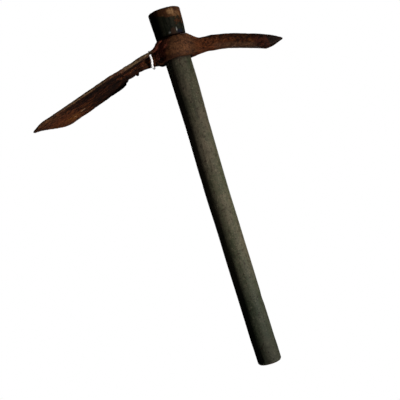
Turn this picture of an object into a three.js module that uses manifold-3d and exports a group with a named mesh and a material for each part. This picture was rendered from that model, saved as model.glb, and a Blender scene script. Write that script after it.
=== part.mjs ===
// A short-handled grub hoe: a forged head with a flat hoe blade on one side of its eye and a pick on the
// other, slipped over a tapered round handle from the butt, with a string tied through a hole in its neck.
// Millimetres, +Z up. The origin is the centre of the butt's flat face, the handle stands along +Z, the
// hoe blade reaches toward -X and the pick toward +X.

import * as THREE from 'three';
import { mergeVertices } from 'three/addons/utils/BufferGeometryUtils.js';
import Module from 'manifold-3d';

const wasm = await Module();
wasm.setup();

// ---- Driving dimensions ----

const CLEARANCE = 0.35; // between the handle and the eye, all round

// Handle.
const HANDLE_LENGTH = 415.4;
const GRIP_RADIUS = 13.6;
const BUTT_ROUNDING = 3.4;
const TOP_RADIUS = 18.4;
const TOP_ROUNDING = 1.6;
const TOP_CROWN = 1.2; // how far the middle of the top stands above its rounded edge
const HANDLE_SIDES = 56;

// Eye: the tapered hole that the handle fills, and the boss round it.
const EYE_BOTTOM = 357.2;
const EYE_TOP = 382.2;
const EYE_BOTTOM_RADIUS = 15.1; // of the handle there
const EYE_TOP_RADIUS = 17.1; // of the handle there
const BOSS_RADIUS = 23.4;
const BOSS_SIDES = 48;

const ARM_ROOT = 8; // the arms start this far from the axis, inside the boss

// Hoe blade. Its upper face lies in one plane that falls away from the eye.
const HOE_DROOP = 0.28; // fall for each millimetre away from the handle's axis
const HOE_ROOT_HEIGHT = 378.2; // height of that plane at the axis
const BLADE_THICKNESS = 4.1;
const BLADE_REACH = 176.6; // distance from the axis to the worn -Y corner of the cutting edge
const NECK_UNDERCUT = 2.2; // the neck's rims stand this much higher than the blade's underside
const NECK_HOLLOW = 1.5; // the neck's upper face dips this much between its rims
const NECK_HALF_WIDTH = 17;
const RIB_REACH = 86; // where the rib under the neck has run out into the blade
const RIB_ROUNDING = 4;
const EDGE_THICKNESS = 1.7;
const EDGE_BEVEL = 15; // how far back from the cutting edge the blade starts to thin
const EDGE_REACH = 167.2; // distance from the axis to the cutting edge, on the centre line
const EDGE_SKEW = 0.22; // the worn cutting edge reaches further on the -Y side
const RIM_ROUNDING = 1.2;
const SCALE_KNOB = [-52.4, 13.4, 359.8]; // middle of a knob of scale under the neck

// Pick.
const PICK_REACH = 119;
const PICK_HALF_WIDTH = 11;
const PICK_ROUNDING = 2.2;

// String, tied through a small hole at the neck's -Y side.
const STRING_RADIUS = 1;
const STRING_HOLE_RADIUS = 1.9;
const STRING_HOLE = new THREE.Vector2(-26.6, -13.9);

// ---- Small tools ----

// A function through [position, value] pairs with no overshoot between them (monotone cubic).
function smoothThrough(pairs) {
  const slopes = pairs.map((pair, i) => {
    const before = pairs[i - 1];
    const after = pairs[i + 1];
    const left = before ? (pair[1] - before[1]) / (pair[0] - before[0]) : null;
    const right = after ? (after[1] - pair[1]) / (after[0] - pair[0]) : left;
    const start = left ?? right;
    return start * right <= 0 ? 0 : (2 * start * right) / (start + right);
  });
  return (at) => {
    const last = pairs.length - 1;
    if (at <= pairs[0][0]) return pairs[0][1];
    if (at >= pairs[last][0]) return pairs[last][1];
    const i = pairs.findIndex((pair) => pair[0] > at) - 1;
    const span = pairs[i + 1][0] - pairs[i][0];
    const t = (at - pairs[i][0]) / span;
    const start = (1 + 2 * t) * (1 - t) * (1 - t) * pairs[i][1] + t * (1 - t) * (1 - t) * span * slopes[i];
    const end = t * t * (3 - 2 * t) * pairs[i + 1][1] - t * t * (1 - t) * span * slopes[i + 1];
    return start + end;
  };
}

// A closed body whose skin runs from ring to ring along +X. Every ring has the same number of points.
function loft(rings) {
  const count = rings[0].length;
  const middles = [rings[0], rings[rings.length - 1]].map((ring) => {
    const sum = ring.reduce((total, point) => total.clone().add(point), new THREE.Vector3());
    return sum.divideScalar(count);
  });
  const points = [...rings.flat(), ...middles];
  const faces = [];
  for (let r = 0; r + 1 < rings.length; r++) {
    for (let i = 0; i < count; i++) {
      const a = r * count + i;
      const b = r * count + ((i + 1) % count);
      faces.push(a, b, b + count, a, b + count, a + count);
    }
  }
  const lastRing = (rings.length - 1) * count;
  for (let i = 0; i < count; i++) {
    const next = (i + 1) % count;
    faces.push(points.length - 2, next, i);
    faces.push(points.length - 1, lastRing + i, lastRing + next);
  }
  const geometry = new THREE.BufferGeometry().setFromPoints(points);
  geometry.setIndex(faces);
  return geometry;
}

// A solid of revolution round Z from [radius, height] pairs.
function lathe(pairs, sides) {
  const profile = pairs.map(([radius, height]) => new THREE.Vector2(radius, height));
  return new THREE.LatheGeometry(profile, sides).rotateX(Math.PI / 2);
}

function toSolid(geometry) {
  const bare = geometry.clone();
  bare.deleteAttribute('normal');
  bare.deleteAttribute('uv');
  const merged = mergeVertices(bare, 1e-4);
  return new wasm.Manifold(
    new wasm.Mesh({
      numProp: 3,
      vertProperties: merged.attributes.position.array,
      triVerts: new Uint32Array(merged.index.array),
    }),
  );
}

function toGeometry(solid) {
  const mesh = solid.getMesh();
  const geometry = new THREE.BufferGeometry();
  geometry.setAttribute('position', new THREE.BufferAttribute(mesh.vertProperties, 3));
  geometry.setIndex(new THREE.BufferAttribute(mesh.triVerts, 1));
  geometry.computeVertexNormals();
  return geometry;
}

function namedMesh(name, geometry, material) {
  const mesh = new THREE.Mesh(geometry, material);
  mesh.name = name;
  return mesh;
}

// ---- Handle ----

// Quarter of a circle between two surfaces at right angles, as [radius, height] pairs.
function roundedCorner(radius, height, rounding, fromAngle, steps) {
  const pairs = [];
  for (let i = 0; i <= steps; i++) {
    const angle = fromAngle + (i / steps) * (Math.PI / 2);
    pairs.push([radius + rounding * Math.cos(angle), height + rounding * Math.sin(angle)]);
  }
  return pairs;
}

// Straight in the grip, then thicker toward the head, most of all through the eye.
function handleGeometry() {
  const shoulder = HANDLE_LENGTH - TOP_CROWN - TOP_ROUNDING;
  const profile = [
    [0, 0],
    ...roundedCorner(GRIP_RADIUS - BUTT_ROUNDING, BUTT_ROUNDING, BUTT_ROUNDING, -Math.PI / 2, 4),
    [GRIP_RADIUS, 190],
    [13.85, 245],
    [13.95, 280],
    [14.3, 308],
    [14.75, 330],
    [EYE_BOTTOM_RADIUS, EYE_BOTTOM],
    [EYE_TOP_RADIUS, EYE_TOP],
    [TOP_RADIUS, shoulder],
    ...roundedCorner(TOP_RADIUS - TOP_ROUNDING, shoulder, TOP_ROUNDING, 0, 3).slice(1),
    [TOP_RADIUS * 0.5, HANDLE_LENGTH - TOP_CROWN * 0.3],
    [0, HANDLE_LENGTH],
  ];
  return lathe(profile, HANDLE_SIDES);
}

// ---- Head ----

// Outline of one cut across an arm: a flat-sided bar with rounded edges, seen along X.
// near and far are its -Y and +Y sides, and top and bottom give its height at each y.
function barRing({ x, near, far, top, bottom, rounding }) {
  const inset = [1, 0.3, 0];
  const underside = 8;
  const upside = 6;
  const outline = [];
  for (let i = 1; i < underside; i++) {
    const y = THREE.MathUtils.lerp(near + rounding, far - rounding, i / underside);
    outline.push([y, bottom(y)]);
  }
  inset.forEach((k, i) => {
    const y = far - k * rounding;
    outline.push([y, bottom(y) + inset[2 - i] * rounding]);
  });
  [...inset].reverse().forEach((k, i) => {
    const y = far - k * rounding;
    outline.push([y, top(y) - inset[i] * rounding]);
  });
  for (let i = 1; i < upside; i++) {
    const y = THREE.MathUtils.lerp(far - rounding, near + rounding, i / upside);
    outline.push([y, top(y)]);
  }
  inset.forEach((k, i) => {
    const y = near + k * rounding;
    outline.push([y, top(y) - inset[2 - i] * rounding]);
  });
  [...inset].reverse().forEach((k, i) => {
    const y = near + k * rounding;
    outline.push([y, bottom(y) + inset[i] * rounding]);
  });
  return outline.map(([y, z]) => new THREE.Vector3(x, y, z));
}

// The distances at which an arm is cut into rings: evenly spaced between each two of the given ends.
function ringReaches(ends, steps) {
  const reaches = [ends[0]];
  steps.forEach((count, i) => {
    for (let k = 1; k <= count; k++) {
      reaches.push(THREE.MathUtils.lerp(ends[i], ends[i + 1], k / count));
    }
  });
  return reaches;
}

// The hoe blade and its narrower neck are one plate, a little raised along the neck.
function bladeGeometry() {
  const nearSide = smoothThrough([
    [ARM_ROOT, 19], [22, 17.6], [28, 17.2], [48, 17.8], [58, 18.8], [64, 22.4], [69, 31], [74, 36],
    [80, 37.4], [110, 37.8], [152, 38.4], [166, 38.2], [172, 37], [175, 35.4], [BLADE_REACH, 33],
  ]);
  // The far shoulder is rusted away in steps.
  const farSide = smoothThrough([
    [ARM_ROOT, 19], [22, 17.6], [28, 17], [47, 16.8], [50, 19.8], [54, 20.6], [59, 19.4], [63, 21.4],
    [65, 26], [68, 29], [71, 30], [73.5, 37], [80, 38.6], [110, 39.2], [150, 40.6], [155, 39], [160, 32.6],
    [163.5, 20], [172.3, -20], [BLADE_REACH, -29],
  ]);
  const rise = smoothThrough([
    [ARM_ROOT, 5.7], [16, 4.6], [22, 2.5], [28, 2.6], [38, 3.3], [56, 3.3], [63, 2.9], [70, 0.9], [76, 0],
  ]);
  const hollow = smoothThrough([
    [ARM_ROOT, 0], [14, 0], [24, NECK_HOLLOW], [50, NECK_HOLLOW], [66, 0], [76, 0],
  ]);
  const reaches = ringReaches([ARM_ROOT, 24, 50, 76, 152, BLADE_REACH], [4, 7, 11, 7, 12]);
  const rings = reaches.map((reach) => {
    const plane = HOE_ROOT_HEIGHT - HOE_DROOP * reach;
    const dip = (y) => hollow(reach) * Math.max(0, 1 - (y / NECK_HALF_WIDTH) ** 2);
    const thinned = (y) => {
      const behindEdge = (EDGE_REACH - EDGE_SKEW * y - reach) / EDGE_BEVEL;
      return (1 - THREE.MathUtils.smoothstep(behindEdge, 0, 1)) * (BLADE_THICKNESS - EDGE_THICKNESS);
    };
    const near = -nearSide(reach);
    const far = farSide(reach);
    return barRing({
      x: -reach,
      near,
      far,
      top: (y) => plane + rise(reach) - dip(y) - thinned(y),
      bottom: () => plane - BLADE_THICKNESS + Math.min(rise(reach), NECK_UNDERCUT),
      rounding: Math.min(RIM_ROUNDING, EDGE_THICKNESS * 0.45, (far - near) / 3),
    });
  });
  return loft(rings.reverse());
}

// The rib under the neck. It is deepest at the eye and runs out into the underside of the blade.
function ribGeometry() {
  const bottom = smoothThrough([
    [ARM_ROOT, 356], [20, 356.3], [25, 358.5], [30, 359.3], [36, 359.4], [46, 359.1], [53, 357],
    [60, 355], [70, 353.4], [RIB_REACH, 351.6],
  ]);
  const halfWidth = smoothThrough([
    [ARM_ROOT, 15], [20, 12.6], [28, 11.8], [48, 11], [64, 9.6], [RIB_REACH, 5],
  ]);
  const rings = ringReaches([ARM_ROOT, 28, RIB_REACH], [4, 12]).map((reach) => {
    const half = halfWidth(reach);
    const inPlate = HOE_ROOT_HEIGHT - HOE_DROOP * reach - 1;
    const rounding = Math.min(RIB_ROUNDING, (inPlate - bottom(reach)) * 0.45);
    return barRing({
      x: -reach,
      near: -half,
      far: half,
      top: () => inPlate,
      bottom: () => bottom(reach),
      rounding,
    });
  });
  return loft(rings.reverse());
}

// A stout bar that curves down to a short four-sided point. Its underside is ground to a bevel.
function pickGeometry() {
  const top = smoothThrough([
    [ARM_ROOT, 381.4], [19, 380.8], [23, 378], [27, 374.5], [32, 371.7], [38, 371.1], [44, 370.5], [52, 369],
    [61, 366.8], [74, 362.8], [86, 358.4], [100, 353.3], [109, 349.5], [PICK_REACH, 344],
  ]);
  const bottom = smoothThrough([
    [ARM_ROOT, 356.8], [24, 357.4], [34, 357.3], [42, 356], [50, 354.7], [59, 352.6], [72, 348.6], [85, 344],
    [96, 340], [99, 339.3], [103, 339.3], [PICK_REACH, 342.4],
  ]);
  const halfWidth = smoothThrough([
    [ARM_ROOT, 16], [18, 14], [24, 12], [32, PICK_HALF_WIDTH], [98, PICK_HALF_WIDTH - 0.6],
    [103, PICK_HALF_WIDTH - 2.2], [PICK_REACH, 1.3],
  ]);
  const reaches = ringReaches([ARM_ROOT, 34, 96, PICK_REACH], [8, 8, 9]);
  const rings = reaches.map((reach) => {
    const half = halfWidth(reach);
    const high = top(reach);
    const low = bottom(reach);
    const rounding = Math.min(PICK_ROUNDING, half * 0.4, (high - low) * 0.35);
    return barRing({ x: reach, near: -half, far: half, top: () => high, bottom: () => low, rounding });
  });
  return loft(rings);
}

// The boss round the eye, a little wider at mid-height, with softened edges. Solid until it is bored.
function bossGeometry() {
  return lathe(
    [
      [0, EYE_BOTTOM],
      [BOSS_RADIUS - 3, EYE_BOTTOM],
      [BOSS_RADIUS - 1.2, EYE_BOTTOM + 0.9],
      [BOSS_RADIUS - 0.4, EYE_BOTTOM + 3.2],
      [BOSS_RADIUS, EYE_BOTTOM + 9],
      [BOSS_RADIUS - 0.5, EYE_BOTTOM + 15],
      [BOSS_RADIUS - 2, EYE_BOTTOM + 20],
      [BOSS_RADIUS - 3.9, EYE_TOP - 1.2],
      [BOSS_RADIUS - 5.2, EYE_TOP],
      [0, EYE_TOP],
    ],
    BOSS_SIDES,
  );
}

// The tapered hole through the eye, carried on past both of its mouths.
function eyeBoreGeometry() {
  const taper = (EYE_TOP_RADIUS - EYE_BOTTOM_RADIUS) / (EYE_TOP - EYE_BOTTOM);
  const past = 20;
  const low = EYE_BOTTOM_RADIUS + CLEARANCE - taper * past;
  const high = EYE_TOP_RADIUS + CLEARANCE + taper * past;
  return lathe(
    [
      [0, EYE_BOTTOM - past],
      [low, EYE_BOTTOM - past],
      [high, EYE_TOP + past],
      [0, EYE_TOP + past],
    ],
    HANDLE_SIDES,
  );
}

function stringHoleGeometry() {
  const height = EYE_TOP - EYE_BOTTOM;
  const hole = new THREE.CylinderGeometry(STRING_HOLE_RADIUS, STRING_HOLE_RADIUS, height, 14);
  return hole.rotateX(Math.PI / 2).translate(STRING_HOLE.x, STRING_HOLE.y, (EYE_TOP + EYE_BOTTOM) / 2);
}

// A knob of scale left on the neck's underside, beside the rib.
function scaleKnobGeometry() {
  const [x, y, z] = SCALE_KNOB;
  return new THREE.SphereGeometry(1, 14, 10).scale(2.3, 5, 3.4).translate(x, y, z);
}

function headGeometry() {
  const arms = toSolid(bladeGeometry()).add(toSolid(ribGeometry())).add(toSolid(pickGeometry()));
  const forging = arms.add(toSolid(bossGeometry())).add(toSolid(scaleKnobGeometry()));
  return toGeometry(forging.subtract(toSolid(eyeBoreGeometry())).subtract(toSolid(stringHoleGeometry())));
}

// ---- String ----

// Down through the hole, under the rib, up the +Y side and back over the top of the neck.
function stringGeometry() {
  const route = new THREE.CatmullRomCurve3(
    [
      [-26.6, -13.9, 371.8],
      [-26.5, -13.9, 368.6],
      [-26.2, -14.1, 365.4],
      [-26.5, -14.1, 362.3],
      [-27.2, -13.6, 359.4],
      [-28.7, -9.5, 357.8],
      [-29.6, 0, 357.7],
      [-30.3, 8.6, 357.8],
      [-30.6, 13.6, 360],
      [-30.4, 17.8, 364.6],
      [-29.8, 19.2, 370],
      [-29.4, 17, 374.2],
      [-29, 13.6, 374],
      [-28.8, 8, 373.2],
      [-28, 0, 372.9],
      [-27, -9.4, 373.7],
      [-26.7, -12.5, 373.9],
    ].map(([x, y, z]) => new THREE.Vector3(x, y, z)),
    true,
    'centripetal',
  );
  const loop = toSolid(new THREE.TubeGeometry(route, 60, STRING_RADIUS, 8, true));
  const knot = new THREE.SphereGeometry(1, 12, 8);
  knot.scale(2.1, 2.4, 1.5);
  knot.translate(-28.9, 8.6, 374.1);
  return toGeometry(loop.add(toSolid(knot)));
}

// ---- The whole tool ----

const paintedWood = new THREE.MeshStandardMaterial({ color: 0x57533f, roughness: 0.7, metalness: 0 });
const rustedSteel = new THREE.MeshStandardMaterial({ color: 0x4a3120, roughness: 0.75, metalness: 0.5 });
const cotton = new THREE.MeshStandardMaterial({ color: 0xf2eeea, roughness: 0.95, metalness: 0 });

const grubHoe = new THREE.Group();
grubHoe.add(namedMesh('handle', handleGeometry(), paintedWood));
grubHoe.add(namedMesh('head', headGeometry(), rustedSteel));
grubHoe.add(namedMesh('tag_string', stringGeometry(), cotton));

export default grubHoe;
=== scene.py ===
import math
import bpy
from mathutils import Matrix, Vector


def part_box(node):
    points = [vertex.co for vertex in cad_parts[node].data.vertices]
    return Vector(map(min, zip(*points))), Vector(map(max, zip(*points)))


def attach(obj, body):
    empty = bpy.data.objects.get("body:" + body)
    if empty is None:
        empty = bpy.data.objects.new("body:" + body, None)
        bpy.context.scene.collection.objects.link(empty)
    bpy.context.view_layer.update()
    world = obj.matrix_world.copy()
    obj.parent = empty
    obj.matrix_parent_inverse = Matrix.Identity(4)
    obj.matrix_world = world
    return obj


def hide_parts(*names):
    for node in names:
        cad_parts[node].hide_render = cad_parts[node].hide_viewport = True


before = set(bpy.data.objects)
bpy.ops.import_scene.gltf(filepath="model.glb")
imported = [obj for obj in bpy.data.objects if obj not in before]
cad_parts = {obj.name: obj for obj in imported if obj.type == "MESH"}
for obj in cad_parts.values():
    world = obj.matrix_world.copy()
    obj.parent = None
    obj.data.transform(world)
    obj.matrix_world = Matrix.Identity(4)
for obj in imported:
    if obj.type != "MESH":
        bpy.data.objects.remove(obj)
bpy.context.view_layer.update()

# The looks of the grub hoe: a rusted forged head on a painted handle, with a string through its neck.
# The shape functions work in millimetres, +Z up, in the frame of the CAD model, and MM turns them to metres.
# The hoe blade reaches toward -X, and "reach" is the distance from the handle's axis along it.

from types import SimpleNamespace

import bpy
import numpy as np
from mathutils import Matrix, Vector

MM = 0.001

# ---- Sizes shared with the CAD model, in millimetres ----

HANDLE_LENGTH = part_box("handle")[1].z / MM
BLADE_REACH = -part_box("head")[0].x / MM
PICK_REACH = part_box("head")[1].x / MM
EYE_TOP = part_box("head")[1].z / MM
EYE_BOTTOM = 357.2
CLEARANCE = 0.35  # between the handle and the eye, all round
GRIP_RADIUS = 13.6
TOP_RADIUS = 18.4
# Heights and radii of the handle.
HANDLE_PROFILE = [
    (0, GRIP_RADIUS), (190, GRIP_RADIUS), (245, 13.85), (280, 13.95), (308, 14.3), (330, 14.75),
    (EYE_BOTTOM, 15.1), (EYE_TOP, 17.1), (HANDLE_LENGTH - 2.8, TOP_RADIUS), (HANDLE_LENGTH, TOP_RADIUS),
]
# Heights, and how far the handle's middle line strays there, across the view.
HANDLE_BOW = [
    (0, 1.2), (17, 1.1), (29, 0.7), (51, 0.5), (74, 0.2), (97, 0), (143, -0.15), (166, -0.35),
    (189, -0.65), (212, -0.73), (235, -0.66), (258, -0.43), (281, -0.1), (304, 0.1), (335, 0.25),
    (354, 0), (384, 0), (395, 0.3), (HANDLE_LENGTH, 0.3),
]
BUTT_ROUNDING = 3.4
TOP_ROUNDING = 1.6
TOP_CROWN = 1.2  # how far the middle of the top stands above its rounded edge
BOSS_RADIUS = 23.4
ARM_ROOT = 8  # the arms start this far from the axis, inside the boss
HOE_DROOP = 0.28  # fall of the blade's upper face for each millimetre of reach
HOE_ROOT_HEIGHT = 378.2  # height of that face at the axis
BLADE_THICKNESS = 4.1
NECK_UNDERCUT = 2.2  # the neck's rims stand this much higher than the blade's underside
NECK_HOLLOW = 1.5  # the neck's upper face dips this much between its rims
NECK_HALF_WIDTH = 17
RIB_REACH = 86  # where the rib under the neck has run out into the blade
RIB_ROUNDING = 4
RIM_ROUNDING = 1.2
EDGE_REACH = 167.2  # reach of the cutting edge, on the centre line
EDGE_SKEW = 0.22  # the worn cutting edge reaches further on the -Y side
EDGE_BEVEL = 15  # how far back from the cutting edge the blade starts to thin
EDGE_THICKNESS = 1.7
SCALE_KNOB = (-52.4, 13.4, 359.8)  # middle of a knob of scale under the neck
SCALE_KNOB_SIZE = (2.3, 5, 3.4)  # half its length, width and height
# Places along +X and heights of the pick's upper and lower faces.
PICK_TOP = [
    (8, 381.4), (19, 380.9), (23, 378.2), (27, 374.8), (32, 371.8), (38, 371.1), (44, 370.6), (52, 369),
    (61, 366.8), (74, 362.8), (86, 358.4), (100, 353.4), (109, 349.6), (PICK_REACH, 344.1),
]
PICK_BOTTOM = [
    (8, 356.8), (24, 357.4), (34, 357.3), (42, 356), (50, 354.7), (59, 352.6), (72, 348.6), (85, 344),
    (96, 340), (99, 339.3), (103, 339.3), (PICK_REACH, 342.4),
]
STRING_HOLE = (-26.6, -13.9)
STRING_HOLE_RADIUS = 1.9
STRING_ROUTE = [
    (-26.6, -13.9, 371.8), (-26.5, -13.9, 368.6), (-26.2, -14.1, 365.4), (-26.5, -14.1, 362.3),
    (-27.2, -13.6, 359.4), (-28.7, -9.5, 357.8), (-29.6, 0, 357.7), (-30.3, 8.6, 357.8),
    (-30.6, 13.6, 360), (-30.4, 17.8, 364.6), (-29.8, 19.2, 370), (-29.4, 17, 374.2),
    (-29, 13.6, 374), (-28.8, 8, 373.2), (-28, 0, 372.9), (-27, -9.4, 373.7), (-26.7, -12.5, 373.9),
]

# ---- Sizes of the looks, in millimetres unless they say otherwise ----

VIEW_TURN = math.radians(10)  # how far the camera stands round from square-on
VIEW_ROLL = math.radians(16.8)  # how far it leans to one side
VIEW_PLACE = (-0.0216, -0.904, 0.198)  # metres to its right, ahead and up from the handle's butt
VIEW_SHIFT = 0.0003  # metres more, up and to the left in its own picture
FLOOR_HEIGHT = -0.16  # metres, below the lowest place that the sliding head comes to
HANDLE_STEP = 1.3  # between the handle's rings
ARM_STEP = 0.8  # between the rings of the blade and of the pick
PICK_LOW_ROUNDING = 0.8
PICK_HIGH_ROUNDING = 2.8
VOXEL = 0.67  # of the head's skin
SKIN_ALLOWANCE = 0.35  # added to the thin sides, which the skin's smoothing takes off again
BORE_LIMIT = 18.5  # the skin nearer to the axis than this is the eye's bore
EYE_SIDES = 128
SEAM_AT = 24  # the arms leave the boss at this distance from the axis
# The string's plies, in its loop and in its knot: radius, distance from its middle line, turn's length.
LOOP_PLY_RADIUS = 0.76
LOOP_PLY_OFFSET = 0.48
LOOP_PITCH = 9
KNOT_PLY_RADIUS = 0.42
KNOT_PLY_OFFSET = 0.42
KNOT_PITCH = 5


# ---- Camera, light and floor ----

def make_camera():
    """The camera. Returns its directions to the right and ahead along the ground, and up."""
    right = Vector((math.cos(VIEW_TURN), math.sin(VIEW_TURN), 0))
    ahead = Vector((-math.sin(VIEW_TURN), math.cos(VIEW_TURN), 0))
    up = Vector((0, 0, 1))
    across = math.cos(VIEW_ROLL) * right - math.sin(VIEW_ROLL) * up
    upward = math.sin(VIEW_ROLL) * right + math.cos(VIEW_ROLL) * up
    place = VIEW_PLACE[0] * right + VIEW_PLACE[1] * ahead + VIEW_PLACE[2] * up
    place += VIEW_SHIFT * (upward - across)
    data = bpy.data.cameras.new("camera")
    data.sensor_width = 36
    data.lens = 72
    camera = bpy.data.objects.new("camera", data)
    axes = Matrix((across, upward, -ahead)).transposed().to_4x4()
    camera.matrix_world = Matrix.Translation(place) @ axes
    bpy.context.scene.collection.objects.link(camera)
    bpy.context.scene.camera = camera
    return right, ahead, up


def add_sun(name, toward, strength, softness):
    """A lamp far away in the direction `toward`, whose disc is `softness` degrees across."""
    data = bpy.data.lights.new(name, "SUN")
    data.energy = strength
    data.angle = math.radians(softness)
    lamp = bpy.data.objects.new(name, data)
    lamp.rotation_mode = "QUATERNION"
    lamp.rotation_quaternion = Vector(toward).to_track_quat("Z", "Y")
    bpy.context.scene.collection.objects.link(lamp)


def make_light(right, ahead, up):
    """A key from the right, low and in front, a faint fill, two lights behind and one overhead."""
    key_side = math.radians(57)
    sideways = 0.957 * right - 0.62 * up
    add_sun("key", math.sin(key_side) * sideways - math.cos(key_side) * ahead, 4.0, 9)
    add_sun("fill", -ahead - 0.15 * up, 0.09, 40)
    add_sun("behind", 0.8 * ahead + 0.5 * up + 0.3 * right, 2.6, 25)
    add_sun("behind_left", 0.97 * ahead + 0.1 * up - 0.22 * right, 1.1, 4)
    add_sun("overhead", 0.35 * ahead + 0.9 * up, 0.6, 30)


def make_surroundings():
    """White all round for the camera, and little light from it, so that the far sides fall away to dark."""
    world = bpy.data.worlds.new("studio")
    bpy.context.scene.world = world
    world.use_nodes = True
    tree = world.node_tree
    tree.nodes.clear()
    seen = make(tree, "ShaderNodeBackground", Color=(1, 1, 1, 1), Strength=1.0)
    cast = make(tree, "ShaderNodeBackground", Color=(0.9, 0.95, 1, 1), Strength=0.012)
    which = make(tree, "ShaderNodeLightPath")
    mixed = make(tree, "ShaderNodeMixShader")
    tree.links.new(which.outputs["Is Camera Ray"], mixed.inputs[0])
    tree.links.new(cast.outputs[0], mixed.inputs[1])
    tree.links.new(seen.outputs[0], mixed.inputs[2])
    make(tree, "ShaderNodeOutputWorld", Surface=mixed.outputs[0])


def make_floor():
    """A white floor, 120 m each way, that neither lights the object nor takes its shadow."""
    half = 60
    data = bpy.data.meshes.new("floor")
    corners = [(x * half, y * half, FLOOR_HEIGHT) for x, y in ((-1, -1), (1, -1), (1, 1), (-1, 1))]
    data.from_pydata(corners, [], [(0, 1, 2, 3)])
    floor = bpy.data.objects.new("floor", data)
    bpy.context.scene.collection.objects.link(floor)
    material = bpy.data.materials.new("white_floor")
    material.use_nodes = True
    tree = material.node_tree
    tree.nodes.clear()
    glow = make(tree, "ShaderNodeEmission", Color=(1, 1, 1, 1), Strength=1.0)
    make(tree, "ShaderNodeOutputMaterial", Surface=glow.outputs[0])
    data.materials.append(material)
    floor.visible_diffuse = False
    floor.visible_glossy = False
    floor.visible_shadow = False


# ---- Nodes ----

def make(tree, kind, **inputs):
    """A node with its inputs. An input given as a socket is linked."""
    made = tree.nodes.new(kind)
    for name, value in inputs.items():
        put(tree, made.inputs[name.replace("_", " ")], value)
    return made


def put(tree, socket, value):
    """Links or sets a socket."""
    if isinstance(value, bpy.types.NodeSocket):
        tree.links.new(value, socket)
    else:
        socket.default_value = value


def mix(tree, share, first, second, blend="MIX"):
    """Colour `first` where share is 0 and `second` where it is 1."""
    made = tree.nodes.new("ShaderNodeMix")
    made.data_type = "RGBA"
    made.blend_type = blend
    put(tree, made.inputs[0], share)
    put(tree, made.inputs[6], first)
    put(tree, made.inputs[7], second)
    return made.outputs[2]


def calc(tree, what, first, second=0.0):
    made = tree.nodes.new("ShaderNodeMath")
    made.operation = what
    put(tree, made.inputs[0], first)
    put(tree, made.inputs[1], second)
    return made.outputs[0]


def span(tree, value, low, high, to_low=0.0, to_high=1.0):
    """The value brought from low..high to to_low..to_high, smoothly and no further."""
    made = tree.nodes.new("ShaderNodeMapRange")
    made.interpolation_type = "SMOOTHSTEP"
    put(tree, made.inputs["Value"], value)
    for name, number in (("From Min", low), ("From Max", high), ("To Min", to_low), ("To Max", to_high)):
        made.inputs[name].default_value = number
    return made.outputs[0]


def speckle(tree, place, size, detail=3.0, rough=0.55, warp=0.0):
    """Noise whose bumps are about `size` millimetres apart."""
    made = make(
        tree, "ShaderNodeTexNoise", Vector=place, Scale=1 / (size * MM), Detail=detail, Roughness=rough,
        Distortion=warp,
    )
    return made.outputs["Fac"]


def srgb(red, green, blue):
    """A shader colour from 0..255 screen values."""
    shares = [c / 255 for c in (red, green, blue)]
    return tuple(c / 12.92 if c <= 0.04045 else ((c + 0.055) / 1.055) ** 2.4 for c in shares) + (1.0,)


def ramp(tree, value, stops):
    made = tree.nodes.new("ShaderNodeValToRGB")
    put(tree, made.inputs[0], value)
    for place, colour in stops[1:-1]:
        made.color_ramp.elements.new(place)
    for element, (place, colour) in zip(made.color_ramp.elements, stops):
        element.position = place
        element.color = colour
    return made.outputs[0]


def stored(tree, name):
    made = tree.nodes.new("ShaderNodeAttribute")
    made.attribute_name = name
    return made.outputs["Fac"]


def new_material(name):
    material = bpy.data.materials.new(name)
    material.use_nodes = True
    tree = material.node_tree
    tree.nodes.clear()
    surface = tree.nodes.new("ShaderNodeBsdfPrincipled")
    make(tree, "ShaderNodeOutputMaterial", Surface=surface.outputs[0])
    place = tree.nodes.new("ShaderNodeTexCoord").outputs["Object"]
    return material, tree, surface, place


def stretched(tree, place, x, y, z):
    made = make(tree, "ShaderNodeMapping", Vector=place, Scale=(x, y, z))
    return made.outputs[0]


# ---- Materials ----

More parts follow.
